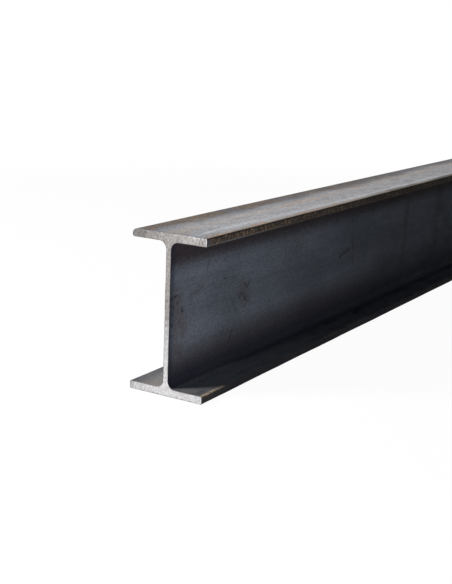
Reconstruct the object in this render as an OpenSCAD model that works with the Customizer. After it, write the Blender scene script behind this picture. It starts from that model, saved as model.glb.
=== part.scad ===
// Hot-rolled steel I-beam of a standard section, sawn square to length.
// The length lies along Y and the beam stands on its lower flange. The origin is in
// the middle of the underside, and all sizes are in millimetres.

/* [Rolled section] */
// Depth over both flanges
section_depth = 140; // [80:1:300]
// Width of each flange
flange_width = 73; // [46:0.5:150]
// Thickness of each flange
flange_thickness = 6.9; // [6.4:0.1:20]
// Thickness of the web
web_thickness = 4.7; // [3:0.1:10]
// Radius of the roots, where the web runs into the flanges
root_radius = 7; // [3:0.5:15]

/* [Flange toes] */
// Radius of the edges along the toes
toe_radius = 0.8; // [0.3:0.1:2.4]
// Radius of the outer edge of the one toe that the rolls left round
round_toe_outer_radius = 4; // [0.5:0.1:4.2]
// Radius of the inner edge of that toe
round_toe_inner_radius = 2.2; // [0.5:0.1:2.4]

/* [Cut] */
// Length of the beam between its sawn ends
beam_length = 1000; // [200:10:12000]

/* [Hidden] */
$fn = 96;
// Distance that a cut or a fillet reaches past the faces that it meets
overrun = 1;
half_depth = section_depth / 2;
half_flange = flange_width / 2;
half_web = web_thickness / 2;
clear_depth = section_depth - 2 * flange_thickness;

// The corner between two square faces and the round that touches both of them.
// Taken away it rounds an edge, and added it fills a root.
module corner_round(radius) {
    difference() {
        translate([-overrun, -overrun]) square(radius + overrun);
        translate([radius, radius]) circle(radius);
    }
}

// What comes off the two edges of the left toe of a flange
module toe_edges(outer_radius, inner_radius) {
    translate([-half_flange, 0]) mirror([0, 1]) corner_round(outer_radius);
    translate([-half_flange, -flange_thickness]) corner_round(inner_radius);
}

// One flange seen from its end, with the middle of its outer face at the origin and
// the web below it. The left toe takes radii of its own.
module flange(left_outer_radius, left_inner_radius) {
    difference() {
        translate([-half_flange, -flange_thickness]) square([flange_width, flange_thickness]);
        toe_edges(left_outer_radius, left_inner_radius);
        mirror([1, 0]) toe_edges(toe_radius, toe_radius);
    }
}

// The web with its four roots, centred on the origin
module web() {
    square([web_thickness, clear_depth + 2 * overrun], center = true);
    for (side = [0, 1], end = [0, 1])
        mirror([side, 0])
            mirror([0, end])
                translate([half_web, -clear_depth / 2])
                    corner_round(root_radius);
}

// The whole section as it leaves the rolls, centred on the origin
module rolled_section() {
    translate([0, half_depth]) flange(round_toe_outer_radius, round_toe_inner_radius);
    mirror([0, 1]) translate([0, half_depth]) flange(toe_radius, toe_radius);
    web();
}

// The beam: the section carried along the length
module i_beam() {
    color([0.34, 0.36, 0.39])
        translate([0, 0, half_depth])
            rotate([90, 0, 0])
                linear_extrude(height = beam_length, center = true)
                    rolled_section();
}

i_beam();
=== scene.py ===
import math
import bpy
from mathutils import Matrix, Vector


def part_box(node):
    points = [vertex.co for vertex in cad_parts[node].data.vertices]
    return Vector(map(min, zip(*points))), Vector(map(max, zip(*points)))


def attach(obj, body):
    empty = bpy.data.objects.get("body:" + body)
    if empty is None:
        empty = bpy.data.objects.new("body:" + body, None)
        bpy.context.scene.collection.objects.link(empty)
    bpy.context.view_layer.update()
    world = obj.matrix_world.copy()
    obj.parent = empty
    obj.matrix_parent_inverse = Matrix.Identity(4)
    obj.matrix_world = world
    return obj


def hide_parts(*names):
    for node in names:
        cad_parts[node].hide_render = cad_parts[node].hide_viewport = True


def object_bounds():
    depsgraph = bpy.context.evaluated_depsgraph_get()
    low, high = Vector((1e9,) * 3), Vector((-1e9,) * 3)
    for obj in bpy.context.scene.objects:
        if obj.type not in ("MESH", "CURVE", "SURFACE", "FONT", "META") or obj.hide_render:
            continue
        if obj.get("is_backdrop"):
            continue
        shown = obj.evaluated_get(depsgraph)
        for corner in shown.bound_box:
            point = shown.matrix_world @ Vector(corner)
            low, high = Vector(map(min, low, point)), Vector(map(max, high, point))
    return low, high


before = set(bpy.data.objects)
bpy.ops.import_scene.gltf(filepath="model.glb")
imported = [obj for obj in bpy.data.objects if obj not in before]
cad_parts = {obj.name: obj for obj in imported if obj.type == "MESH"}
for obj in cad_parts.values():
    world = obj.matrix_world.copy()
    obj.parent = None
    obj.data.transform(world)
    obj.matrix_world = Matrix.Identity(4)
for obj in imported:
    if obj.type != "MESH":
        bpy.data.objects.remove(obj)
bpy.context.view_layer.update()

from types import SimpleNamespace

import bpy
from bpy.props import FloatProperty, FloatVectorProperty, IntProperty, PointerProperty
from mathutils import Quaternion, Vector

bl_info = {
    "name": "Steel I-beam",
    "version": (1, 0, 0),
    "blender": (4, 5, 0),
    "location": "View3D > Sidebar > I-beam",
    "description": "A hot-rolled steel I-beam with mill scale, rust and sawn ends",
    "category": "Object",
}

NODE = "i_beam"
NODE_LOW, NODE_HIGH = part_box(NODE)
NODE_SIZE = NODE_HIGH - NODE_LOW
MILLIMETRE = 0.001


def mm(value):
    """A number of millimetres, in metres"""
    return value * MILLIMETRE


# Rows of the rim at each cut, how far it is drawn in, and how the other rows crowd to the ends
RIM_ROWS = 2.0
RIM_INSET = mm(0.5)
ROW_CROWDING = 1.8

# Points on each rounded edge of the outline, and its finer steps near the top
EDGE_POINTS = 5
TOP_BEGINS = mm(3.0)
TOP_WHOLE = mm(1.0)
TOP_STEP_SHARE = 0.4

# Folds that stay sharp, and how close to the outside a face takes the outer finish
SHARP_FOLD = math.radians(40.0)
OUTER_DEPTH = mm(0.25)

# The torn teeth: their spacing, how far noise shifts their phase, and how far they reach down
TOOTH_SPACING = mm(4.6)
TOOTH_WOBBLE = 14.0
TOOTH_REACH = mm(1.6)

# The torn lip: its rows, its lean out of the cut, and the heights between which the toe joins in
LIP_ROWS = 2.0
LIP_LEAN = 0.3
LIP_SIDE_BEGINS = 0.4
LIP_SIDE_WHOLE = 0.6

# Middle of a noise, and half the height over which the lower half of the section turns upper
NOISE_MIDDLE = 0.5
MIDDLE_BAND = mm(7.0)

# Marks, in half widths: where they begin, where they are whole and how far noise smears them
MARK_BEGINS = 1.2
MARK_WHOLE = -0.2
MARK_SMEAR = 3.0
END_MARK_SMEAR = 1.5

# How far noise shifts the edges of stains, bands and tarnish
STIPPLE = mm(16.0)
FACE_DRIFT = mm(30.0)
FAR_BAND_RAGS = mm(20.0)
NEAR_BAND_WAVES = mm(9.0)
CHAIN_WANDER = mm(9.0)
TARNISH_DRIFT = mm(50.0)

# Places across the beam from the middle of the web, and the width of the blend onto a flange
FAR_FLANGE_BEGINS = mm(3.0)
LIT_PATCH_BEGINS = mm(8.0)
FLANGE_BLEND = mm(4.7)

# Places along the beam from its middle, along it from an end, and inside a flange
PALE_TOE_MIDDLE = mm(-100.0)
RUBBED_MIDDLE = mm(-82.0)
GOLD_PATCH = mm(280.0)
LIP_INSIDE = mm(0.7)

# Shares of what is weaker on the far side or on the lower flange
FAR_STAIN = 0.6
FAR_ROOT = 0.1
FAR_RIM = 0.5
LOWER_STROKES = 0.08
LOWER_TAN = 0.3
LOWER_LEFT = 0.10
UPPER_LEFT = 0.42

# Strengths of thin layers on the outer faces
CHAIN_FILM = 0.22
CHAIN_RUST = 0.85
TAN_RUST = 0.8
RUBBED_DARK = 0.85

# Slopes of the edge of the painted lit patch on the near flange at an end, and of the saw's scratches
LIT_PATCH_SLOPE = 1.2
SCRATCH_SLANT = 0.35
SCRATCH_STRETCH = 0.12

# Shine and roughness of the finishes
INNER_SHINE = 0.015
OUTER_SHINE = 0.12
STEEL_METAL = 0.9
RUST_ROUGHNESS = 0.8

# Fine relief: how much of each noise goes into it, its strength and its height
MOTTLE_RELIEF = 0.6
INNER_GRAIN_RELIEF = 0.25
OUTER_GRAIN_RELIEF = 0.3
STEEL_RELIEF = 0.5
INNER_BUMP = 0.35
OUTER_BUMP = 0.22
DULL_BUMP = 0.4
BRIGHT_BUMP = 0.2
SCALE_BUMP_HEIGHT = mm(0.4)
STEEL_BUMP_HEIGHT = mm(0.2)

# Where the floor's shadow has faded out, in shadow reaches, and the camera's sensor in millimetres
SHADOW_END = 1.6
SENSOR_SIDE = 36.0

# Dark marks on the near side of the web, in millimetres and as a share: where each begins
# and ends along the length and in height, its half width and its strength
WEB_MARKS = (
    (-498.5, 84.5, -490, 86, 1.5, 0.95),
    (-481.5, 74.5, -481, 71, 1.6, 0.85),
    (-489, 80, -488, 79.5, 0.9, 0.7),
    (-497.8, 78.6, -494.4, 76.8, 1.7, 0.75),
    (-497.1, 71.9, -495.7, 70.5, 1.6, 0.65),
    (-490.1, 66.1, -489.3, 65.3, 1.3, 0.6),
    (-497.4, 62.4, -496.3, 60.6, 1.6, 0.65),
    (-487, 62.5, -486, 62, 0.9, 0.65),
    (-440.6, 108.2, -443, 100.6, 1.5, 0.45),
    (-414.2, 87.9, -409.5, 86.9, 0.8, 0.65),
    (-409.2, 87.1, -395.9, 86.6, 0.7, 0.3),
    (-377.6, 77.5, -372.2, 72.3, 1.9, 0.45),
    (-368.1, 78, -372.2, 72.3, 1.9, 0.55),
    (-382.2, 69.1, -385.8, 65.1, 1.8, 0.55),
    (-379.9, 66.5, -371, 58, 1.9, 0.55),
    (-397, 64, -391, 52, 4, 0.25),
    (-396.8, 35.9, -402.4, 26.1, 1.7, 0.6),
    (-172, 70, -148, 76, 3.2, 0.55),
    (-146.6, 118, -138, 60, 2, 0.3),
    (-93, 114, -91.5, 107, 2.2, 0.55),
)

# Brown haze on the near side of the web, in the same order
WEB_HAZES = (
    (-491, 84, -481, 54, 13, 0.75),
    (-492, 62, -487, 36, 10, 0.65),
    (-470, 81, -450, 88, 4.5, 0.6),
    (-380, 72, -374, 62, 11, 0.6),
    (-141, 84, -138, 60, 7, 0.45),
    (14.3, 116, 12, 40, 11, 0.6),
    (122, 116, 119, 40, 14, 0.55),
)

# Marks on the sawn ends, in the same order, with the first coordinate across the beam
END_MARKS = (
    (29.8, 136.9, 29.9, 134.8, 0.8, 0.8),
    (32.1, 137.1, 32.2, 135.1, 0.8, 0.8),
    (-25, 138.3, -23.6, 137.4, 0.9, 0.6),
    (-11.5, 136.5, -6.7, 136.3, 0.7, 0.4),
    (22.6, 137.8, 22.9, 136.2, 0.7, 0.4),
    (-7.2, 133.2, -4.6, 131.9, 1.1, 0.7),
    (-18, 133.7, -9.5, 133.6, 0.6, 0.5),
)

# Noise patterns: the size of the features in millimetres, a factor on each coordinate, the detail,
# the roughness and the seed
PATTERNS = {
    "web blotches": (48, (1, 0.45, 1), 3, 0.5, 1),
    "haze patches": (70, (1, 0.45, 1), 3, 0.5, 4),
    "rolling streaks": (4, (1, 0.04, 1), 3, 0.6, 8),
    "scuffs": (14, (1, 0.6, 1), 3, 0.6, 10),
    "smear": (4, (1, 1, 1), 3, 0.65, 6),
    "pepper": (1.6, (1, 0.7, 1), 2, 0.6, 7),
    "inner mottle": (11, (1, 0.45, 1), 4, 0.6, 2),
    "inner grain": (1.4, (1, 0.6, 1), 2, 0.6, 3),
    "toe strokes": (1.4, (1, 1, 0.6), 2, 0.6, 5),
    "rust tone": (9, (1, 1, 1), 3, 0.6, 9),
    "face drift": (25, (1, 0.3, 1), 3, 0.55, 11),
    "face mottle": (7.7, (1, 0.4, 1), 4, 0.6, 12),
    "face grain": (1.3, (1, 0.5, 1), 1, 0.6, 13),
    "film": (13, (1, 0.3, 1), 3, 0.6, 14),
    "chain dashes": (3.4, (0.7, 0.7, 1), 4, 0.65, 15),
    "chain links": (22, (0, 1, 0), 1, 0.5, 18),
    "edge patches": (16, (0.6, 0.35, 1), 3, 0.55, 17),
    "saw scratches": (1.1, (1, 1, 1), 3, 0.6, 21),
    "steel grain": (1.4, (1, 1, 1), 3, 0.7, 22),
    "tarnish": (16, (1, 1, 1), 3, 0.6, 23),
    "pits": (2, (1, 1, 1), 2, 0.6, 25),
    "foot dashes": (4.5, (1, 0.2, 0.2), 2, 0.5, 26),
    "tooth heights": (5, (1, 1, 0.3), 1, 0.5, 26),
    "tooth wobble": (9, (1, 1, 0.3), 2, 0.5, 24),
    "rolled waves": (22, (1, 0.25, 1), 3, 0.5, 0),
    "toe wander": (36, (1, 0.6, 1), 4, 0.55, 5),
}

# Changes along a distance: where each begins and ends in millimetres, and what it gives there,
# which is 0 and 1 where nothing is said
FADES = {
    "near side": (-1, 1),
    "upper stain": (31, 14, 0, 0.95),
    "foot along": (-250, 100, 1, 0.58),
    "foot stain": (46, 18, 0, 0.72),
    "root dirt": (26, 4, 0, 0.76),
    "dirt at the cut": (10, 1, 0, 0.66),
    "far paler toward web": (1, 24),
    "far inwards": (0, 32, 0.94, 1.16),
    "near inwards": (2, 14),
    "near deep in": (60, 320, 0, 0.56),
    "near root": (22, 9, 0, 0.35),
    "near root inwards": (80, 125),
    "strokes at the cut": (4, 8),
    "strokes along": (-440, -60, 0.56, 0.32),
    "olive toe": (40, 12, 0, 0.16),
    "blue toe": (8, 48, 0.5, 0.92),
    "pale toe": (150, 60, 1, 1.7),
    "scorched toe": (7, 4, 0, 0.45),
    "dark toe edge": (0.6, 1.8, 0.4, 1),
    "pale lip": (1, 0.3),
    "pale lip along": (-330, -470, 0.15, 0.7),
    "gold edge": (1, 0.3),
    "gold at the toe": (3.6, 1),
    "gold at the end": (42, 26, 0.04, 0.8),
    "gold patch": (90, 30, 0, 0.14),
    "toe face": (1.3, 0.5),
    "chain centre": (9, 1, 0.08, 1),
    "fresh chain": (-470, -380, 0.25, 1),
    "far band": (-10, -24),
    "far band along": (-120, 80, 1, 0.6),
    "brown along": (-300, -200, 1, 0.5),
    "blue along": (-320, -220, 0.15, 1),
    "strip": (8.5, 1, 0, 0.5),
    "strip core": (2.4, 0.4, 0, 0.6),
    "strip at the end": (2, 40, 0.5, 1),
    "tan band": (29, 33.5),
    "rubbed stretch": (64, 30, 0, 0.7),
    "rubbed beyond": (-30, 30, 0, 0.85),
    "rubbed lightly": (-230, -150, 0, 0.3),
    "rubbed band": (26, 32),
    "dark corner": (1.2, 0.5, 0, 0.9),
    "light part": (-26, 2),
    "dark end": (60, 3, 0, 0.46),
    "burr shadow at the cut": (8, 1, 0, 0.5),
    "teeth across": (-28, 12, 0.4, 1),
    "teeth": (0.3, -0.8, 0, 0.65),
    "bright foot": (75, 28),
    "dark left": (-8, -34),
    "dark tip": (-32, -36, 0, 0.25),
    "light right": (0, 20, 0, 0.15),
    "bright toe": (1.2, 0.5, 0, 0.9),
    "inner rim": (1.1, 0.2),
    "lowest edge": (1.3, 0.4),
    "wandering toe": (3, 1),
    "top lip": (1.5, 0),
    "lip elsewhere": (0, 2, 0, 0.35),
}

# Changes of one distance along another, in the same order and all in millimetres
SHIFTS = {
    "stain drop": (-460, -410, 4, 0),
    "near flange": (80, 125, 5, 7.5),
    "chain middle": (-420, 120, 1.5, -9),
    "strip middle": (-480, -230, 21.5, 26),
    "light part": (-120, 80, 0, 9),
}

# Changes over the levels of a noise, in the same order
LEVELS = {
    "web blotches": (0.3, 0.62),
    "rolling streaks": (0.3, 0.7, 0.94, 1.06),
    "haze patches": (0.56, 0.76, 0, 0.3),
    "scuffs": (0.68, 0.76, 0, 0.4),
    "pepper": (0.56, 0.7, 1, 0.7),
    "far mottle": (0.45, 0.75, 0, 0.35),
    "near mottle": (0.45, 0.75, 0, 0.4),
    "toe strokes": (0.45, 0.68),
    "rust tone": (0.4, 0.64, 0.15, 0.75),
    "gold breaks": (0.42, 0.62, 0.35, 1),
    "inner grain": (0.25, 0.75, 0.8, 1.22),
    "inner roughness": (0.3, 0.7, 0.6, 0.75),
    "chain dashes": (0.49, 0.63),
    "chain links": (0.4, 0.6, 0.35, 1),
    "brown patches": (0.58, 0.48, 0.1, 0.9),
    "blue patches": (0.5, 0.58, 0, 0.85),
    "edge specks": (0.54, 0.66, 0, 0.45),
    "orange in the tan": (0.48, 0.7, 0, 0.7),
    "dark patches": (0.46, 0.72, 0, 0.34),
    "film": (0.5, 0.66, 0, 0.25),
    "face grain": (0.25, 0.75, 0.62, 1.38),
    "face roughness": (0.3, 0.7, 0.42, 0.58),
    "scallops": (-0.9, 0.9, 0.2, 1),
    "tooth heights": (0.35, 0.65, 0.35, 1),
    "dull scratches": (0.25, 0.75, 0.78, 1.16),
    "bright scratches": (0.25, 0.75, 0.9, 1.08),
    "dull grain": (0.3, 0.7, 0.75, 1.2),
    "bright grain": (0.3, 0.7, 0.8, 1.14),
    "dull pits": (0.6, 0.72, 0, 0.45),
    "bright pits": (0.6, 0.72, 0, 0.15),
    "glints": (0.36, 0.28, 0, 0.7),
    "rusty rim": (0.4, 0.6, 0.2, 0.8),
    "foot dashes": (0.45, 0.57, 0.1, 0.75),
    "steel roughness": (0.2, 0.8, 0.4, 0.65),
}


def a_number(name, description, default, **kind):
    """A property that holds a number, with its unit or subtype where it has one"""
    return FloatProperty(name=name, description=description, default=default, **kind)


def a_length(name, description, default):
    """A property that holds a length"""
    return a_number(name, description, default, unit="LENGTH")


def an_angle(name, description, degrees):
    """A property that holds an angle, with its default in degrees"""
    return a_number(name, description, math.radians(degrees), subtype="ANGLE")


def a_colour(name, description, default):
    """A property that holds a colour"""
    return FloatVectorProperty(name=name, description=description, default=default, subtype="COLOR")


class BeamSizes(bpy.types.PropertyGroup):
    """The sizes of the rolled section, of its length and of the relief on its faces"""

    length: a_length("Length", "Distance between the sawn ends", NODE_SIZE.y)
    depth: a_length("Depth", "Depth of the section over both flanges", NODE_SIZE.z)
    flange_width: a_length("Flange width", "Width of each flange from toe to toe", NODE_SIZE.x)
    flange_thickness: a_length("Flange thickness", "Thickness of each flange", mm(6.9))
    web_thickness: a_length("Web thickness", "Thickness of the web", mm(4.7))
    root_radius: a_length("Root radius", "Radius of the roots between the web and the flanges", mm(7.0))
    toe_radius: a_length("Toe radius", "Radius of the edges along the toes", mm(0.8))
    round_toe_outer: a_length(
        "Round toe, outer edge", "Radius of the outer edge of the toe that the rolls left round", mm(4.0)
    )
    round_toe_inner: a_length(
        "Round toe, inner edge", "Radius of the inner edge of the toe that the rolls left round", mm(2.2)
    )
    outline_step: a_length("Outline step", "Distance between the mesh points round the section", mm(2.0))
    rows: IntProperty(
        name="Rows",
        description="Rows of mesh points along the length, closest together at the ends",
        default=181,
    )
    scale_relief: a_length(
        "Scale relief", "Height of the waves that the rolls leave in the faces", mm(0.12)
    )
    toe_relief: a_length("Toe relief", "How far the toes wander from a straight line", mm(0.4))
    burr_height: a_length(
        "Burr height", "Height of the ragged lip that the saw leaves on the edges of the ends", mm(0.6)
    )
    seed: a_number("Seed", "Chooses the pattern of the waves and the burr", 3.0)


class BeamFinish(bpy.types.PropertyGroup):
    """The colours of the mill scale, the rust and the sawn steel"""

    web_dark: a_colour("Web scale, dark", "Dark blotches of the scale on the web", (0.061, 0.069, 0.085))
    web_light: a_colour("Web scale, light", "Blue-grey scale on the web", (0.085, 0.095, 0.119))
    haze: a_colour("Brown haze", "Thin brown haze over the scale on the web", (0.055, 0.048, 0.051))
    # The stain colour also carries painted shade: the upper flange's shadow and the shade at the foot of
    # the web
    stain: a_colour(
        "Stain", "Dark purple-brown stain along the web, beside both flanges", (0.021, 0.0165, 0.0185)
    )
    # The dirt colour also carries painted shade in the roots and deep along the near flange
    dirt: a_colour("Dirt", "Dark marks and dirt in the roots", (0.0090, 0.0107, 0.0182))
    # The near inner flange colours are painted shade and painted light: a shaded copy of the scale, and
    # a lit copy where the key lamp reaches at each end
    flange_near_shaded: a_colour(
        "Near inner flange scale",
        "Scale on the inner flange faces of the near side",
        (0.065, 0.074, 0.091),
    )
    flange_near_lit_end: a_colour(
        "Inner flange scale, end",
        "Scale on the inner flange faces of the near side, close to the ends",
        (0.070, 0.070, 0.074),
    )
    # The far inner flange colours are a painted lighter copy of the scale
    flange_far_toe: a_colour(
        "Far inner flange scale, toe",
        "Scale on the inner flange faces of the far side, along the toe",
        (0.086, 0.087, 0.092),
    )
    flange_far_web: a_colour(
        "Far inner flange scale, web",
        "Scale on the inner flange faces of the far side, beside the web",
        (0.172, 0.162, 0.156),
    )
    face_dark: a_colour(
        "Outer scale, dark", "Dark patches on the outer faces of the flanges", (0.080, 0.082, 0.092)
    )
    face_light: a_colour(
        "Outer scale, light", "Worn scale on the outer faces of the flanges", (0.228, 0.232, 0.250)
    )
    # Also the colour of the painted shadow of the burr along each cut
    face_blue: a_colour(
        "Outer scale, blue",
        "Blue patches towards the far edge of the outer faces",
        (0.085, 0.087, 0.105),
    )
    face_pale: a_colour(
        "Outer scale, pale", "Pale strip along the near part of the outer faces", (0.320, 0.325, 0.345)
    )
    brown: a_colour("Brown rust", "Thin brown rust along the flange edges", (0.092, 0.075, 0.062))
    film: a_colour(
        "Tan film", "Film of rust dust on the outer faces of the flanges", (0.260, 0.205, 0.155)
    )
    tan: a_colour("Tan rust", "Thin rust along the near edges of the outer faces", (0.215, 0.178, 0.145))
    orange: a_colour("Orange rust", "Fresh specks of rust", (0.370, 0.225, 0.130))
    gold: a_colour("Golden rust", "Rust along the inner edges of the toes", (0.350, 0.275, 0.200))
    toe: a_colour("Toe scale", "Dark scale on the toes", (0.027, 0.0240, 0.0220))
    toe_low: a_colour("Lower toe scale", "Blue-black scale on the lower toes", (0.0158, 0.0162, 0.0208))
    # The dull top and bright foot of the sawn ends are partly tarnish and partly a painted reflection of
    # the floor
    steel_dull: a_colour(
        "Sawn steel, dull", "Sawn steel that has begun to tarnish", (0.255, 0.242, 0.235)
    )
    steel_bright: a_colour("Sawn steel, bright", "Freshly sawn steel", (0.500, 0.492, 0.500))
    # Also the colour of the painted shadow under the burr along the lowest edge
    pit: a_colour("Pits", "Dull pits in the sawn steel", (0.15, 0.138, 0.13))
    rim: a_colour("Rim", "Tarnish on the sawn steel along the web and the roots", (0.190, 0.145, 0.125))
    # Also the colour of the painted highlights on the teeth, the near toe's edge and the glints
    burr: a_colour("Burr", "Bright torn steel along the edges of the cut", (0.530, 0.520, 0.510))


class StageSettings(bpy.types.PropertyGroup):
    """The floor, the lamps and the camera"""

    floor_size: a_length("Floor size", "Side of the square floor", 60.0)
    floor_colour: a_colour("Floor colour", "Colour of the floor", (0.75, 0.75, 0.75))
    backdrop_share: a_number(
        "Backdrop share",
        "Share of plain white in what the camera and mirror-like faces see of the floor",
        0.96,
        subtype="FACTOR",
    )
    shadow_reach: a_length(
        "Shadow reach",
        "Distance from the middle of the beam within which the floor shows its shadow",
        0.9,
    )
    sky_strength: a_number("Sky strength", "Strength of the even light from all round", 0.1)
    key_power: a_number(
        "Key lamp", "Power of the lamp in front of the beam's far side", 100.0, unit="POWER"
    )
    key_azimuth: an_angle(
        "Key azimuth",
        "Direction of the key lamp round the near end, from the front towards the right",
        -48.0,
    )
    key_elevation: an_angle("Key elevation", "Height of the key lamp above the horizon", 34.0)
    key_distance: a_length("Key distance", "Distance of the key lamp from the near end", 2.2)
    key_size: a_length("Key size", "Side of the key lamp's square face", 0.5)
    fill_power: a_number(
        "Fill lamp",
        "Power of the lamp beside the camera, which lights the near end of the web",
        30.0,
        unit="POWER",
    )
    fill_azimuth: an_angle(
        "Fill azimuth",
        "Direction of the fill lamp round the near end, from the front towards the right",
        50.0,
    )
    fill_elevation: an_angle("Fill elevation", "Height of the fill lamp above the horizon", 7.0)
    fill_distance: a_length("Fill distance", "Distance of the fill lamp from the near end", 1.0)
    fill_size: a_length("Fill size", "Radius of the fill lamp", 0.12)
    fill_spread: an_angle("Fill spread", "Angle of the cone that the fill lamp lights", 36.5)
    camera_place: FloatVectorProperty(
        name="Camera place",
        description="Where the camera stands",
        default=(0.485, -1.218, 0.2995),
        subtype="TRANSLATION",
    )
    camera_azimuth: an_angle(
        "Camera azimuth", "Direction that the camera looks from, from the front towards the right", 30.85
    )
    camera_elevation: an_angle("Camera elevation", "How far the camera looks down", 13.45)
    camera_roll: an_angle("Camera roll", "Lean of the camera", 2.24)
    camera_lens: a_number(
        "Lens", "Focal length for a sensor 36 mm along the picture's long side", 66.34, unit="CAMERA"
    )


# The node tree's inputs: the sizes, by their properties' names, and the three finishes
SIZE_INPUTS = {name: name.replace("_", " ").title() for name in BeamSizes.__annotations__}
FINISH_INPUTS = ("Inner Scale", "Outer Scale", "Sawn Steel")


class Wiring:
    """Short ways to add and join the nodes of one tree"""

    def __init__(self, tree):
        self.tree = tree
        # Where on the object the patterns are looked up
        self.place = None

    def put(self, socket, value):
        """Joins another node's output to a socket, or sets the socket's own value"""
        if isinstance(value, bpy.types.NodeSocket):
            self.tree.links.new(value, socket)
        elif socket.type == "RGBA":
            socket.default_value = (*value, 1.0)
        else:
            socket.default_value = value

    def node(self, kind, inputs=None, **settings):
        """Adds a node with its settings and with what goes into its sockets, by identifier"""
        made = self.tree.nodes.new(kind)
        for name, value in settings.items():
            setattr(made, name, value)
        sockets = {socket.identifier: socket for socket in made.inputs}
        for name, value in (inputs or {}).items():
            self.put(sockets[name], value)
        return made

    def out(self, kind, inputs=None, **settings):
        """The first output of a new node"""
        return self.node(kind, inputs, **settings).outputs[0]

    def math(self, operation, first, second=0.0):
        """One sum on numbers"""
        inputs = {"Value": first, "Value_001": second}
        return self.out("ShaderNodeMath", inputs, operation=operation)

    def chain(self, operation, first, *others):
        """One sum on numbers, from the first to the last"""
        for other in others:
            first = self.math(operation, first, other)
        return first

    def add(self, *numbers):
        """The sum of some numbers"""
        return self.chain("ADD", *numbers)

    def times(self, *numbers):
        """The product of some numbers"""
        return self.chain("MULTIPLY", *numbers)

    def most(self, *numbers):
        """The largest of some numbers"""
        return self.chain("MAXIMUM", *numbers)

    def less(self, first, second):
        """The first number less the second"""
        return self.math("SUBTRACT", first, second)

    def size(self, value):
        """A number without its sign"""
        return self.math("ABSOLUTE", value)

    def compare(self, operation, first, second):
        """Whether one number is more or less than another, as a choice of mesh parts"""
        inputs = {"A": first, "B": second}
        return self.out("FunctionNodeCompare", inputs, data_type="FLOAT", operation=operation)

    def ramp(self, value, low, high, low_gives=0.0, high_gives=1.0):
        """A smooth step from one value to another, flat outside the two limits"""
        inputs = {
            "Value": value,
            "From Min": low,
            "From Max": high,
            "To Min": low_gives,
            "To Max": high_gives,
        }
        return self.out("ShaderNodeMapRange", inputs, interpolation_type="SMOOTHSTEP")

    def fade(self, distance, name):
        """A named change along a distance"""
        begins, ends, *gives = FADES[name]
        return self.ramp(distance, mm(begins), mm(ends), *gives)

    def shift(self, distance, name):
        """A named change of one distance along another"""
        return self.ramp(distance, *(mm(value) for value in SHIFTS[name]))

    def level(self, noise, name):
        """A named change over the levels of a noise"""
        return self.ramp(noise, *LEVELS[name])

    def split(self, vector):
        """The three numbers of a vector"""
        return self.node("ShaderNodeSeparateXYZ", {"Vector": vector}).outputs

    def join(self, x, y, z):
        """A vector of three numbers"""
        return self.out("ShaderNodeCombineXYZ", {"X": x, "Y": y, "Z": z})

    def vector(self, operation, first, second=(0.0, 0.0, 0.0), output="Vector"):
        """One sum on vectors"""
        inputs = {"Vector": first, "Vector_001": second}
        return self.node("ShaderNodeVectorMath", inputs, operation=operation).outputs[output]

    def measure(self, operation, *vectors):
        """One sum on vectors that gives a number"""
        return self.vector(operation, *vectors, output="Value")

    def noise(self, name, where=None, seed=0.0):
        """Smooth noise from 0 to 1 in a named pattern, at the tree's own place or another"""
        size, stretch, detail, roughness, own_seed = PATTERNS[name]
        inputs = {
            "Vector": self.vector("MULTIPLY", where or self.place, stretch),
            "W": self.add(seed, own_seed),
            "Scale": 1.0 / mm(size),
            "Detail": detail,
            "Roughness": roughness,
        }
        return self.out("ShaderNodeTexNoise", inputs, noise_dimensions="4D")

    def patches(self, name):
        """A named pattern cut to its own levels"""
        return self.level(self.noise(name), name)

    def swing(self, noise, reach):
        """A noise that swings about zero, by half the reach to each side"""
        return self.times(self.less(noise, NOISE_MIDDLE), reach)

    def mix(self, share, first, second):
        """The first number where the share is 0 and the second where it is 1"""
        inputs = {"Factor_Float": share, "A_Float": first, "B_Float": second}
        return self.out("ShaderNodeMix", inputs, data_type="FLOAT")

    def tint(self, share, first, second):
        """The first colour where the share is 0 and the second where it is 1"""
        inputs = {"Factor_Float": share, "A_Color": first, "B_Color": second}
        made = self.node("ShaderNodeMix", inputs, data_type="RGBA")
        return next(socket for socket in made.outputs if socket.identifier == "Result_Color")

    def coats(self, base, *coats):
        """A colour under coats of others, each with its share"""
        for share, colour in coats:
            base = self.tint(share, base, colour)
        return base

    def shade(self, colour, factor):
        """A colour made lighter or darker by a factor"""
        return self.out("ShaderNodeVectorMath", {"Vector": colour, "Scale": factor}, operation="SCALE")

    def surface(self, shader, base, roughness, relief, strength, height):
        """Gives a shader its colour, its roughness and its fine relief"""
        inputs = {"Height": relief, "Strength": strength, "Distance": height}
        self.put(shader.inputs["Base Color"], base)
        self.put(shader.inputs["Roughness"], roughness)
        self.put(shader.inputs["Normal"], self.out("ShaderNodeBump", inputs))


def emptied(owner):
    """The wiring of a material or a world, with nothing in it yet"""
    owner.use_nodes = True
    owner.node_tree.nodes.clear()
    return Wiring(owner.node_tree)


def new_material(name, sizes):
    """A node material on the object's own coordinates, with its wiring, its shader and its zones"""
    material = bpy.data.materials.new(name)
    w = emptied(material)
    shader = w.node("ShaderNodeBsdfPrincipled")
    w.node("ShaderNodeOutputMaterial", {"Surface": shader.outputs["BSDF"]})
    w.place = w.node("ShaderNodeTexCoord").outputs["Object"]
    return material, w, shader, beam_zones(w, sizes)


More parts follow.
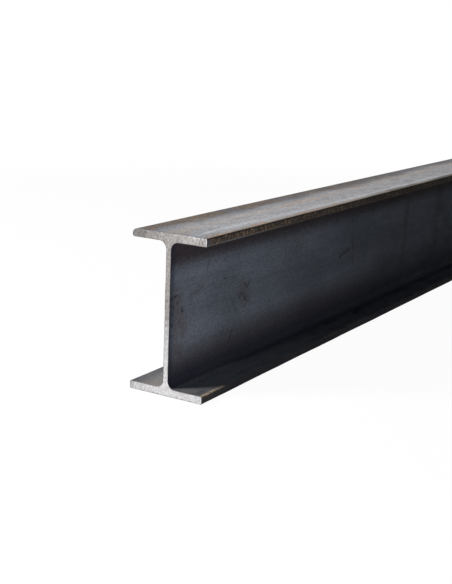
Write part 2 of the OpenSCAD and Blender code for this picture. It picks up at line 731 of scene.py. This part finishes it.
def beam_zones(w, sizes):
    """Places and distances on the section that every finish goes by"""
    x, y, z = w.split(w.place)
    half_depth = sizes.depth / 2
    from_middle = w.size(w.less(z, half_depth))
    upper = w.ramp(z, half_depth - MIDDLE_BAND, half_depth + MIDDLE_BAND)
    near_side = w.fade(x, "near side")
    off_web = w.size(x)
    return SimpleNamespace(
        x=x,
        y=y,
        z=z,
        off_web=off_web,
        from_toe=w.less(sizes.flange_width / 2, off_web),
        from_end=w.less(sizes.length / 2, w.size(y)),
        off_flange=w.less(half_depth - sizes.flange_thickness, from_middle),
        below_top=w.less(sizes.depth, z),
        near_side=near_side,
        side=w.mix(near_side, -1.0, 1.0),
        upper=upper,
        lower=w.less(1.0, upper),
    )


def mark_share(w, spot, marks, unevenness):
    """How much of some marks lies on a spot of a flat face, given by its two coordinates"""
    total = 0.0
    for start_across, start_up, end_across, end_up, half_width, strength in marks:
        start = Vector((mm(start_across), mm(start_up), 0.0))
        step = Vector((mm(end_across), mm(end_up), 0.0)) - start
        gone = w.vector("SUBTRACT", spot, start)
        reach = w.measure("DOT_PRODUCT", gone, step / step.length_squared)
        nearest = w.shade(step, w.math("MINIMUM", w.most(reach, 0.0), 1.0))
        distance = w.measure("LENGTH", w.vector("SUBTRACT", gone, nearest))
        widths = w.add(w.math("DIVIDE", distance, mm(half_width)), unevenness)
        total = w.most(total, w.ramp(widths, MARK_BEGINS, MARK_WHOLE, 0.0, strength))
    return total


def web_scale(w, zone, finish):
    """Blue-grey scale of the web, with brown haze, dark marks, and stains with painted shade beside the
    flanges
    """
    pepper = w.noise("pepper")
    web = w.tint(w.patches("web blotches"), finish.web_dark, finish.web_light)
    web = w.shade(web, w.patches("rolling streaks"))

    # The far side has the same marks, turned end for end
    along = w.times(zone.y, zone.side)
    spot = w.join(along, zone.z, 0.0)
    uneven = w.swing(w.noise("smear"), MARK_SMEAR)
    haze = w.most(mark_share(w, spot, WEB_HAZES, uneven), w.patches("haze patches"))
    marks = w.most(mark_share(w, spot, WEB_MARKS, uneven), w.patches("scuffs"))

    # The stains, partly a painted shadow of the upper flange and painted shade at the foot, end in a
    # stipple, and the lower root of the near side is the darkest, with painted shade as well as dirt
    stippled = w.add(zone.off_flange, w.swing(pepper, STIPPLE))
    under = w.times(zone.upper, w.fade(stippled, "upper stain"))
    low = w.times(zone.lower, w.fade(along, "foot along"))
    foot = w.times(low, w.fade(w.add(stippled, w.shift(along, "stain drop")), "foot stain"))
    stain = w.times(w.most(under, foot), w.mix(zone.near_side, FAR_STAIN, 1.0))
    # Painted shade together with dirt in the lower root of the web
    root = w.times(low, w.fade(zone.off_flange, "root dirt"), w.mix(zone.near_side, FAR_ROOT, 1.0))
    beside_cut = w.times(w.fade(zone.from_end, "dirt at the cut"), zone.near_side)
    web = w.coats(
        web,
        (haze, finish.haze),
        (marks, finish.dirt),
        (stain, finish.stain),
        (root, finish.dirt),
        (beside_cut, finish.dirt),
    )
    return w.shade(web, w.level(pepper, "pepper"))


def inner_flange_scale(w, zone, finish):
    """Scale on the inner faces of the flanges, dark on the near side and paler beside the far web, with
    painted light and shade: a shaded near side with a lit patch at each end, painted shade deep in and
    by the near root, and a painted lighter far side
    """
    mottle = w.noise("inner mottle")
    # The far side is painted lighter, and paler still towards the web
    paler_toward_web = w.fade(zone.from_toe, "far paler toward web")
    far_side_lit = w.tint(paler_toward_web, finish.flange_far_toe, finish.flange_far_web)
    far_side_lit = w.tint(w.level(mottle, "far mottle"), far_side_lit, finish.web_dark)
    far_side_lit = w.shade(far_side_lit, w.fade(zone.from_end, "far inwards"))
    # Painted light: a lit patch on the near flange at each end, widening towards the toe
    lit_patch_reach = w.times(w.less(zone.off_web, LIT_PATCH_BEGINS), LIT_PATCH_SLOPE)
    beyond_lit_patch = w.fade(w.less(zone.from_end, lit_patch_reach), "near inwards")
    near_side = w.tint(beyond_lit_patch, finish.flange_near_lit_end, finish.flange_near_shaded)
    # Painted shade deep along the near flange and beside the web, with real dirt in the mottle
    root_shade_and_dirt = w.times(w.fade(zone.off_web, "near root"), w.fade(zone.from_end, "near root inwards"))
    dirty_and_shaded = w.add(w.level(mottle, "near mottle"), w.fade(zone.from_end, "near deep in"), root_shade_and_dirt)
    near_side = w.tint(dirty_and_shaded, near_side, finish.dirt)
    return w.tint(zone.near_side, far_side_lit, near_side)


def toe_scale(w, zone, finish):
    """Dark toes with upright strokes of rust, most of them towards the near end"""
    rust = w.tint(w.patches("rust tone"), finish.brown, finish.orange)
    strokes = w.times(
        w.patches("toe strokes"),
        w.fade(zone.from_end, "strokes at the cut"),
        w.fade(zone.y, "strokes along"),
        w.mix(zone.upper, LOWER_STROKES, 1.0),
    )
    # Painted light: the lower toe is made lighter about its middle
    toe_painted_light = w.fade(w.size(w.less(zone.y, PALE_TOE_MIDDLE)), "pale toe")
    toe = w.coats(
        finish.toe,
        (strokes, rust),
        (w.times(zone.lower, w.fade(zone.from_end, "olive toe")), finish.brown),
        (w.times(zone.lower, w.fade(zone.from_end, "blue toe")), w.shade(finish.toe_low, toe_painted_light)),
        (w.times(zone.upper, w.fade(zone.from_end, "scorched toe")), finish.web_dark),
    )
    # Painted shade along the top rounding of the upper toe
    toe = w.shade(toe, w.fade(zone.below_top, "dark toe edge"))
    on_lip = w.fade(w.size(w.add(zone.off_flange, LIP_INSIDE)), "pale lip")
    lip = w.times(on_lip, zone.upper, w.fade(zone.y, "pale lip along"))
    return w.tint(lip, toe, finish.flange_far_toe)


def golden_corner(w, zone):
    """How much golden rust lies along the inner edge of the lower near toe, close to the ends"""
    further = w.fade(w.size(w.less(zone.from_end, GOLD_PATCH)), "gold patch")
    return w.times(
        w.fade(w.size(zone.off_flange), "gold edge"),
        w.fade(zone.from_toe, "gold at the toe"),
        zone.near_side,
        zone.lower,
        w.most(w.fade(zone.from_end, "gold at the end"), further),
        w.level(w.noise("smear"), "gold breaks"),
    )


def inner_scale(sizes, finish):
    """Dark mill scale on the web, the roots, the inner faces of the flanges and the toes"""
    material, w, shader, zone = new_material("Inner mill scale", sizes)
    mottle = w.noise("inner mottle")
    grain = w.noise("inner grain")
    begins = w.mix(zone.near_side, FAR_FLANGE_BEGINS, w.shift(zone.from_end, "near flange"))
    on_flange = w.ramp(zone.off_web, begins, w.add(begins, FLANGE_BLEND))
    base = w.coats(
        web_scale(w, zone, finish),
        (on_flange, inner_flange_scale(w, zone, finish)),
        (w.fade(zone.from_toe, "toe face"), toe_scale(w, zone, finish)),
        (golden_corner(w, zone), finish.gold),
    )
    base = w.shade(base, w.level(grain, "inner grain"))
    shader.inputs["Specular IOR Level"].default_value = INNER_SHINE
    relief = w.add(w.times(mottle, MOTTLE_RELIEF), w.times(grain, INNER_GRAIN_RELIEF))
    roughness = w.level(mottle, "inner roughness")
    w.surface(shader, base, roughness, relief, INNER_BUMP, SCALE_BUMP_HEIGHT)
    return material


def rust_chain(w, zone):
    """How much rust lies in the chain of short dashes along the middle of an outer face"""
    wander = w.swing(w.noise("face drift"), CHAIN_WANDER)
    off_middle = w.size(w.add(w.less(zone.x, w.shift(zone.y, "chain middle")), wander))
    centre = w.fade(off_middle, "chain centre")
    dashes = w.patches("chain dashes")
    return w.times(centre, dashes, w.patches("chain links")), centre


def far_edge(w, zone, base, finish):
    """Brown rust and blue-grey patches in turn along the far edge of an outer face"""
    patches = w.noise("edge patches")
    drift = w.swing(w.noise("face drift"), FACE_DRIFT)
    ragged = w.add(zone.x, drift, w.swing(w.noise("face mottle"), FAR_BAND_RAGS))
    band = w.times(w.fade(ragged, "far band"), w.fade(zone.y, "far band along"))
    brown = w.times(band, w.level(patches, "brown patches"), w.fade(zone.y, "brown along"))
    specks = w.times(brown, w.level(w.noise("chain dashes"), "edge specks"))
    blue = w.times(band, w.level(patches, "blue patches"), w.fade(zone.y, "blue along"))
    coats = ((brown, finish.brown), (specks, finish.orange), (blue, finish.face_blue))
    return w.coats(base, *coats), band


def near_edge(w, zone, base, finish):
    """A pale strip, and then a broken tan line that is rubbed dark in places, along the near edge"""
    mottle = w.noise("face mottle")
    off_strip = w.size(w.less(zone.x, w.shift(zone.y, "strip middle")))
    strip = w.add(w.fade(off_strip, "strip"), w.fade(off_strip, "strip core"))
    strip = w.times(strip, w.fade(zone.from_end, "strip at the end"))
    wavy = w.add(zone.x, w.swing(mottle, NEAR_BAND_WAVES))
    band = w.times(w.fade(wavy, "tan band"), w.mix(zone.upper, LOWER_TAN, 1.0))
    rust = w.tint(w.level(mottle, "orange in the tan"), finish.tan, finish.orange)
    rubbed = w.most(
        w.fade(w.size(w.less(zone.y, RUBBED_MIDDLE)), "rubbed stretch"),
        w.fade(zone.y, "rubbed beyond"),
        w.fade(zone.y, "rubbed lightly"),
    )
    dark = w.times(w.fade(wavy, "rubbed band"), rubbed)
    base = w.coats(
        base,
        (strip, finish.face_pale),
        (w.times(band, TAN_RUST), rust),
        (w.times(dark, RUBBED_DARK), finish.toe),
        (w.fade(zone.from_toe, "dark corner"), finish.toe),
    )
    return base, w.most(band, dark)


def outer_scale(sizes, finish):
    """Worn mill scale on the outer faces of the flanges, with rust along the edges and the middle"""
    material, w, shader, zone = new_material("Outer mill scale", sizes)
    mottle = w.noise("face mottle")
    grain = w.noise("face grain")
    drift = w.swing(w.noise("face drift"), FACE_DRIFT)
    across = w.add(zone.x, drift, w.shift(zone.y, "light part"))
    base = w.coats(
        finish.face_dark,
        (w.fade(across, "light part"), finish.face_light),
        (w.level(mottle, "dark patches"), finish.face_dark),
        (w.fade(zone.from_end, "dark end"), finish.face_dark),
        (w.patches("film"), finish.film),
    )
    base, far_band = far_edge(w, zone, base, finish)
    chain, centre = rust_chain(w, zone)
    rust = w.tint(w.fade(zone.y, "fresh chain"), finish.film, finish.orange)
    thin_film = (w.times(centre, CHAIN_FILM), finish.film)
    base = w.coats(base, thin_film, (w.times(chain, CHAIN_RUST), rust))
    base, near_band = near_edge(w, zone, base, finish)
    # Painted shadow of the burr: a thin blue-dark line behind each cut
    base = w.tint(w.fade(zone.from_end, "burr shadow at the cut"), base, finish.face_blue)
    base = w.shade(base, w.level(grain, "face grain"))
    rusty = w.most(far_band, near_band)
    roughness = w.mix(rusty, w.level(mottle, "face roughness"), RUST_ROUGHNESS)
    shader.inputs["Specular IOR Level"].default_value = OUTER_SHINE
    relief = w.add(w.times(mottle, MOTTLE_RELIEF), w.times(grain, OUTER_GRAIN_RELIEF))
    w.surface(shader, base, roughness, relief, OUTER_BUMP, SCALE_BUMP_HEIGHT)
    return material


def tooth_share(w, x):
    """Rise and fall of the torn teeth along the edge of a cut, from 0 to 1"""
    wobble = w.swing(w.noise("tooth wobble"), TOOTH_WOBBLE)
    phase = w.add(w.times(x, math.tau / TOOTH_SPACING), wobble)
    scallops = w.level(w.math("SINE", phase), "scallops")
    return w.times(scallops, w.patches("tooth heights"), w.fade(x, "teeth across"))


def sawn_steel(sizes, finish):
    """Bare steel of the sawn ends, with the saw's marks and a bright burr; the bright foot is partly a
    painted reflection of the floor, the burr carries painted highlights, and the dashes along the lowest
    edge are painted shadow
    """
    material, w, shader, zone = new_material("Sawn steel", sizes)
    slanted = w.less(zone.x, w.times(zone.z, SCRATCH_SLANT))
    scratches = w.noise("saw scratches", w.join(slanted, zone.y, w.times(zone.z, SCRATCH_STRETCH)))
    grain = w.noise("steel grain")
    cloud = w.noise("tarnish")
    pits = w.noise("pits")

    # Tarnished, scratched and pitted at the top, bright and smoother at the foot, partly tarnish and
    # partly a painted reflection of the floor
    bright = w.fade(w.add(zone.z, w.swing(cloud, TARNISH_DRIFT)), "bright foot")
    base = w.tint(bright, finish.steel_dull, finish.steel_bright)
    for noise, kind in ((scratches, "scratches"), (grain, "grain")):
        shades = (w.level(noise, f"{part} {kind}") for part in ("dull", "bright"))
        base = w.shade(base, w.mix(bright, *shades))
    left = w.times(w.mix(zone.upper, LOWER_LEFT, UPPER_LEFT), w.fade(zone.x, "dark left"))
    left = w.add(left, w.times(zone.lower, w.fade(zone.x, "dark tip")))
    right = w.times(zone.upper, w.fade(zone.x, "light right"))
    base = w.shade(base, w.add(w.less(1.0, left), right))
    pitted = w.mix(bright, w.level(pits, "dull pits"), w.level(pits, "bright pits"))
    uneven = w.swing(grain, END_MARK_SMEAR)
    marks = mark_share(w, w.join(zone.x, zone.z, 0.0), END_MARKS, uneven)

    # Torn teeth along the upper edge and a bright edge at the near toe: bright torn steel with painted
    # highlights
    reach = w.times(tooth_share(w, zone.x), TOOTH_REACH)
    teeth = w.fade(w.less(zone.below_top, reach), "teeth")
    side = w.times(w.fade(zone.from_toe, "bright toe"), zone.upper, zone.near_side)

    # Brown along the inner edges, most on the near side, and dark dashes along the lowest edge, which
    # are painted shadow under the burr
    inside_x = w.most(w.less(sizes.web_thickness / 2 + sizes.root_radius, zone.off_web), 0.0)
    inside_z = w.most(w.less(sizes.root_radius, zone.off_flange), 0.0)
    from_root = w.measure("LENGTH", w.join(inside_x, inside_z, 0.0))
    rim = w.fade(w.less(from_root, sizes.root_radius), "inner rim")
    rusty = w.times(w.level(cloud, "rusty rim"), w.mix(zone.near_side, FAR_RIM, 1.0))
    dashes = w.times(w.fade(zone.z, "lowest edge"), w.patches("foot dashes"))
    base = w.coats(
        base,
        (pitted, finish.pit),
        (w.level(pits, "glints"), finish.burr),
        (marks, finish.brown),
        (w.most(teeth, side), finish.burr),
        (w.times(rim, rusty), finish.rim),
        (dashes, finish.pit),
    )
    shader.inputs["Metallic"].default_value = STEEL_METAL
    roughness = w.level(grain, "steel roughness")
    relief = w.times(w.add(scratches, grain), STEEL_RELIEF)
    strength = w.mix(bright, DULL_BUMP, BRIGHT_BUMP)
    w.surface(shader, base, roughness, relief, strength, STEEL_BUMP_HEIGHT)
    return material


FINISHES = dict(zip(FINISH_INPUTS, (inner_scale, outer_scale, sawn_steel)))


def section_corners(w, given):
    """The twelve square corners of the section in order, each with the radius that rounds it"""
    half_flange = w.times(given["Flange Width"], 0.5)
    half_web = w.times(given["Web Thickness"], 0.5)
    low = given["Flange Thickness"]
    top = given["Depth"]
    high = w.less(top, low)
    toe = given["Toe Radius"]
    root = given["Root Radius"]
    right = [
        (half_flange, 0.0, toe),
        (half_flange, low, toe),
        (half_web, low, root),
        (half_web, high, root),
        (half_flange, high, toe),
        (half_flange, top, toe),
    ]
    radii = (given["Round Toe Outer"], given["Round Toe Inner"], root, root, toe, toe)
    left = [(w.times(x, -1.0), z, radius) for (x, z, _), radius in zip(reversed(right), radii)]
    return right + left


def pick_by_index(w, kind, index, choices):
    """A field that gives the point with each index its own choice"""
    switch = w.node("GeometryNodeIndexSwitch", data_type=kind)
    while len(switch.index_switch_items) < len(choices):
        switch.index_switch_items.new()
    w.put(switch.inputs["Index"], index)
    slots = [socket for socket in switch.inputs if socket.identifier.startswith("Item_")]
    for socket, choice in zip(slots, choices):
        w.put(socket, choice)
    return switch.outputs[0]


def capture(w, geometry, fields):
    """Keeps fields on the points of a geometry, and gives it back with what was kept"""
    keeper = w.node("GeometryNodeCaptureAttribute", domain="POINT")
    for name, (kind, _) in fields.items():
        keeper.capture_items.new(kind, name)
    w.put(keeper.inputs["Geometry"], geometry)
    for name, (_, field) in fields.items():
        w.put(keeper.inputs[name], field)
    return keeper.outputs["Geometry"], {name: keeper.outputs[name] for name in fields}


def points_in_line(w, count):
    """A line of so many points"""
    line = w.out("GeometryNodeCurvePrimitiveLine")
    return w.out("GeometryNodeResampleCurve", {"Curve": line, "Count": count}, mode="COUNT")


def section_outline(w, given):
    """The closed outline of the section, rounded and cut into short steps"""
    corners = section_corners(w, given)
    index = w.out("GeometryNodeInputIndex")
    line = points_in_line(w, len(corners))
    ring = w.out("GeometryNodeSetSplineCyclic", {"Geometry": line, "Cyclic": True})
    places = pick_by_index(w, "VECTOR", index, [w.join(x, 0.0, z) for x, z, _ in corners])
    ring = w.out("GeometryNodeSetPosition", {"Geometry": ring, "Position": places})
    radii = pick_by_index(w, "FLOAT", index, [radius for _, _, radius in corners])
    rounding = {"Curve": ring, "Radius": radii, "Count": EDGE_POINTS, "Limit Radius": True}
    ring = w.out("GeometryNodeFilletCurve", rounding, mode="POLY")

    # The number of cuts between a point and the next follows from their distance
    position = w.out("GeometryNodeInputPosition")
    following = w.node("GeometryNodeOffsetPointInCurve", {"Point Index": index, "Offset": 1})
    at_next = {"Value": position, "Index": following.outputs["Point Index"]}
    kinds = {"data_type": "FLOAT_VECTOR", "domain": "POINT"}
    next_place = w.out("GeometryNodeFieldAtIndex", at_next, **kinds)
    top = given["Depth"]
    on_top = w.ramp(w.split(position)[2], w.less(top, TOP_BEGINS), w.less(top, TOP_WHOLE))
    step = w.times(given["Outline Step"], w.mix(on_top, 1.0, TOP_STEP_SHARE))
    steps = w.math("CEIL", w.math("DIVIDE", w.measure("DISTANCE", position, next_place), step))
    return w.out("GeometryNodeSubdivideCurve", {"Curve": ring, "Cuts": w.less(steps, 1.0)})


def swept_section(w, given):
    """The section swept along its rows, with each point's place and tangent in it, and its row"""
    position = w.out("GeometryNodeInputPosition")
    tangent = w.out("GeometryNodeInputTangent")
    kept = {"place": ("VECTOR", position), "tangent": ("VECTOR", tangent)}
    outline, ring = capture(w, section_outline(w, given), kept)
    index = w.out("GeometryNodeInputIndex")
    path, lane = capture(w, points_in_line(w, given["Rows"]), {"row": ("INT", index)})
    inputs = {"Curve": path, "Profile Curve": outline, "Fill Caps": True}
    return w.out("GeometryNodeCurveToMesh", inputs), ring, lane["row"]


def along_the_beam(w, given, row):
    """How far along the beam a row lies, which end is nearer, and its number from that end"""
    half_length = w.times(given["Length"], 0.5)
    half_rows = w.times(w.less(given["Rows"], 1.0), 0.5)
    from_middle = w.less(row, half_rows)
    end = w.math("SIGN", from_middle)
    from_end = w.less(half_rows, w.size(from_middle))
    skin_rows = w.most(w.less(from_end, RIM_ROWS), 0.0)
    share = w.math("DIVIDE", skin_rows, w.less(half_rows, RIM_ROWS))
    distance = w.times(half_length, w.math("POWER", share, ROW_CROWDING))
    return w.times(end, w.less(half_length, distance)), end, from_end


def surface_relief(w, given, x, z, from_end):
    """How far each point stands out of the plain section, and the burr's part of it"""
    swell = w.swing(w.noise("rolled waves", seed=given["Seed"]), w.times(given["Scale Relief"], 2.0))
    from_toe = w.less(w.times(given["Flange Width"], 0.5), w.size(x))
    toe = w.fade(from_toe, "wandering toe")
    wander = w.swing(w.noise("toe wander", seed=given["Seed"]), w.times(given["Toe Relief"], 2.0))
    lip_heights = (w.times(given["Depth"], share) for share in (LIP_SIDE_BEGINS, LIP_SIDE_WHOLE))
    near_toe = w.times(toe, w.math("GREATER_THAN", x, 0.0))
    side_edge = w.times(w.ramp(z, *lip_heights), near_toe)
    top_edge = w.fade(w.less(given["Depth"], z), "top lip")
    ragged = w.most(w.fade(z, "lip elsewhere"), w.most(top_edge, side_edge))
    lip_rows = w.ramp(w.size(w.less(from_end, RIM_ROWS)), 0.0, LIP_ROWS, 1.0, 0.0)
    torn = w.times(tooth_share(w, x), ragged)
    burr = w.times(torn, w.times(lip_rows, given["Burr Height"]))
    rim_share = w.math("DIVIDE", w.most(w.less(RIM_ROWS, from_end), 0.0), RIM_ROWS)
    proud = w.add(w.add(swell, w.times(toe, wander)), burr)
    return w.less(proud, w.times(rim_share, RIM_INSET)), burr


def dressed(w, given, mesh, z, from_end):
    """The mesh with its sharp edges marked and with the finish of each part"""
    half_depth = w.times(given["Depth"], 0.5)
    off_middle = w.size(w.less(z, half_depth))
    fold = w.node("GeometryNodeInputMeshEdgeAngle").outputs["Unsigned Angle"]
    mesh = w.out("GeometryNodeSetShadeSmooth", {"Geometry": mesh}, domain="FACE")
    is_sharp = w.compare("GREATER_THAN", fold, SHARP_FOLD)
    inputs = {"Geometry": mesh, "Selection": is_sharp, "Shade Smooth": False}
    mesh = w.out("GeometryNodeSetShadeSmooth", inputs, domain="EDGE")
    mesh = w.out("GeometryNodeRealizeInstances", {"Geometry": mesh})
    is_outer = w.compare("GREATER_THAN", off_middle, w.less(half_depth, OUTER_DEPTH))
    is_rim = w.compare("LESS_THAN", from_end, RIM_ROWS)
    for name, part in zip(FINISH_INPUTS, (True, is_outer, is_rim)):
        inputs = {"Geometry": mesh, "Selection": part, "Material": given[name]}
        mesh = w.out("GeometryNodeSetMaterial", inputs)
    return mesh


def beam_tree():
    """The node tree that sweeps the section along the length and saws it off"""
    tree = bpy.data.node_groups.new("Rolled beam", "GeometryNodeTree")
    tree.is_modifier = True
    kinds = {name: "NodeSocketFloat" for name in SIZE_INPUTS.values()}
    kinds["Rows"] = "NodeSocketInt"
    kinds.update({name: "NodeSocketMaterial" for name in FINISH_INPUTS})
    identifiers = {}
    for name, kind in kinds.items():
        identifiers[name] = tree.interface.new_socket(name, in_out="INPUT", socket_type=kind).identifier
    tree.interface.new_socket("Geometry", in_out="OUTPUT", socket_type="NodeSocketGeometry")
    w = Wiring(tree)
    given = {socket.name: socket for socket in w.node("NodeGroupInput").outputs if socket.name}

    swept, ring, row = swept_section(w, given)
    y, end, from_end = along_the_beam(w, given, row)
    x, _, z = w.split(ring["place"])
    w.place = w.join(x, y, z)
    outward, burr = surface_relief(w, given, x, z, from_end)

    # The outward direction is the outline's tangent, turned by a quarter
    tangent_x, _, tangent_z = w.split(ring["tangent"])
    position = w.join(
        w.add(x, w.times(tangent_z, outward)),
        w.add(y, w.times(w.times(end, burr), LIP_LEAN)),
        w.less(z, w.times(tangent_x, outward)),
    )
    shaped = w.out("GeometryNodeSetPosition", {"Geometry": swept, "Position": position})
    shaped = w.out("GeometryNodeFlipFaces", {"Mesh": shaped})
    output = w.node("NodeGroupOutput")
    w.put(output.inputs["Geometry"], dressed(w, given, shaped, z, from_end))
    return tree, identifiers


class IBEAM_OT_make_beam(bpy.types.Operator):
    """Makes the rolled beam with its scale, rust and sawn ends"""

    bl_idname = "ibeam.make_beam"
    bl_label = "Make the beam"

    def execute(self, context):
        sizes = context.scene.ibeam_sizes
        finish = context.scene.ibeam_finish
        tree, identifiers = beam_tree()
        values = {title: getattr(sizes, name) for name, title in SIZE_INPUTS.items()}
        for title, make_finish in FINISHES.items():
            values[title] = make_finish(sizes, finish)
        beam = bpy.data.objects.new("rolled_beam", bpy.data.meshes.new("rolled_beam"))
        context.scene.collection.objects.link(beam)
        modifier = beam.modifiers.new("Rolled beam", "NODES")
        modifier.node_group = tree
        for name, value in values.items():
            modifier[identifiers[name]] = value
        depsgraph = context.evaluated_depsgraph_get()
        mesh = bpy.data.meshes.new_from_object(beam.evaluated_get(depsgraph), depsgraph=depsgraph)
        beam.modifiers.clear()
        beam.data = mesh
        mesh.name = beam.name
        if not mesh.polygons:
            raise RuntimeError("the beam's node tree made no faces")
        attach(beam, "root")
        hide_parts(NODE)
        return {"FINISHED"}


def sight_rays(w):
    """1 on rays that come from the camera, a mirror-like face or a clear one"""
    rays = w.node("ShaderNodeLightPath").outputs
    shiny = w.most(rays["Is Glossy Ray"], rays["Is Transmission Ray"])
    return w.most(rays["Is Camera Ray"], shiny)


def floor_material(stage):
    """A pale matt floor that shows mostly white and keeps the beam's shadow"""
    material = bpy.data.materials.new("Pale floor")
    w = emptied(material)
    matt = w.out("ShaderNodeBsdfDiffuse", {"Color": stage.floor_colour})
    white = w.out("ShaderNodeEmission")
    distance = w.measure("LENGTH", w.node("ShaderNodeTexCoord").outputs["Object"])
    reach = stage.shadow_reach
    white_share = w.ramp(distance, reach, reach * SHADOW_END, stage.backdrop_share, 1.0)
    share = w.times(sight_rays(w), white_share)
    shaders = {"Fac": share, "Shader": matt, "Shader_001": white}
    blend = w.out("ShaderNodeMixShader", shaders)
    w.node("ShaderNodeOutputMaterial", {"Surface": blend})
    return material


def make_floor(stage):
    """A square floor under the beam"""
    half = stage.floor_size / 2
    corners = [(-half, -half), (half, -half), (half, half), (-half, half)]
    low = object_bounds()[0].z
    mesh = bpy.data.meshes.new("floor")
    mesh.from_pydata([(x, y, low) for x, y in corners], [], [(0, 1, 2, 3)])
    mesh.materials.append(floor_material(stage))
    floor = bpy.data.objects.new("floor", mesh)
    bpy.context.scene.collection.objects.link(floor)
    floor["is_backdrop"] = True


def make_sky(stage):
    """Even light from all round, seen as plain white"""
    world = bpy.data.worlds.new("Studio")
    w = emptied(world)
    strength = w.mix(sight_rays(w), stage.sky_strength, 1.0)
    inputs = {"Color": (1.0, 1.0, 1.0), "Strength": strength}
    background = w.out("ShaderNodeBackground", inputs)
    w.node("ShaderNodeOutputWorld", {"Surface": background})
    bpy.context.scene.world = world


def direction(azimuth, elevation):
    """The way from the object to something at this azimuth and elevation"""
    level = math.cos(elevation)
    return Vector((math.sin(azimuth) * level, -math.cos(azimuth) * level, math.sin(elevation)))


def hang_lamp(data, target, azimuth, elevation, distance):
    """Puts a lamp round its target and turns it to face it"""
    lamp = bpy.data.objects.new(data.name, data)
    back = direction(azimuth, elevation)
    lamp.location = target + back * distance
    lamp.rotation_mode = "QUATERNION"
    lamp.rotation_quaternion = (-back).to_track_quat("-Z", "Y")
    lamp.visible_camera = False
    bpy.context.scene.collection.objects.link(lamp)


def make_key(stage, target):
    """The square soft lamp in front"""
    data = bpy.data.lights.new("key", "AREA")
    data.shape = "SQUARE"
    data.size = stage.key_size
    data.energy = stage.key_power
    hang_lamp(data, target, stage.key_azimuth, stage.key_elevation, stage.key_distance)


def make_fill(stage, target):
    """The weak lamp beside the camera, which fades along the beam"""
    data = bpy.data.lights.new("fill", "SPOT")
    data.energy = stage.fill_power
    data.shadow_soft_size = stage.fill_size
    data.spot_size = stage.fill_spread
    data.spot_blend = 1.0
    hang_lamp(data, target, stage.fill_azimuth, stage.fill_elevation, stage.fill_distance)


def make_camera(stage):
    """The camera where the photograph was taken from"""
    data = bpy.data.cameras.new("camera")
    data.sensor_fit = "AUTO"
    data.sensor_width = SENSOR_SIDE
    data.lens = stage.camera_lens
    camera = bpy.data.objects.new("camera", data)
    look = -direction(stage.camera_azimuth, stage.camera_elevation)
    camera.location = stage.camera_place
    camera.rotation_mode = "QUATERNION"
    camera.rotation_quaternion = look.to_track_quat("-Z", "Y") @ Quaternion((0, 0, 1), stage.camera_roll)
    bpy.context.scene.collection.objects.link(camera)
    bpy.context.scene.camera = camera


class IBEAM_OT_make_stage(bpy.types.Operator):
    """Makes the floor, the lamps and the camera"""

    bl_idname = "ibeam.make_stage"
    bl_label = "Make the stage"

    def execute(self, context):
        stage = context.scene.ibeam_stage
        context.scene.view_settings.view_transform = "Standard"
        make_floor(stage)
        make_sky(stage)
        near_end = Vector((0.0, NODE_LOW.y, NODE_SIZE.z / 2))
        make_key(stage, near_end)
        make_fill(stage, near_end)
        make_camera(stage)
        return {"FINISHED"}


class IBEAM_PT_sidebar(bpy.types.Panel):
    """Lists the beam's operators and settings"""

    bl_idname = "IBEAM_PT_sidebar"
    bl_label = "I-beam"
    bl_space_type = "VIEW_3D"
    bl_region_type = "UI"
    bl_category = "I-beam"

    def draw(self, context):
        for operator in OPERATORS:
            self.layout.operator(operator.bl_idname)
        for group in ("ibeam_sizes", "ibeam_finish", "ibeam_stage"):
            settings = getattr(context.scene, group)
            box = self.layout.box()
            for name in settings.__annotations__:
                box.prop(settings, name)


OPERATORS = (IBEAM_OT_make_beam, IBEAM_OT_make_stage)
CLASSES = (BeamSizes, BeamFinish, StageSettings, *OPERATORS, IBEAM_PT_sidebar)


def register():
    for each in CLASSES:
        bpy.utils.register_class(each)
    bpy.types.Scene.ibeam_sizes = PointerProperty(type=BeamSizes)
    bpy.types.Scene.ibeam_finish = PointerProperty(type=BeamFinish)
    bpy.types.Scene.ibeam_stage = PointerProperty(type=StageSettings)


def unregister():
    del bpy.types.Scene.ibeam_stage
    del bpy.types.Scene.ibeam_finish
    del bpy.types.Scene.ibeam_sizes
    for each in reversed(CLASSES):
        bpy.utils.unregister_class(each)


def main():
    """Makes everything in order"""
    register()
    bpy.ops.ibeam.make_beam()
    bpy.ops.ibeam.make_stage()


if __name__ == "__main__":
    main()
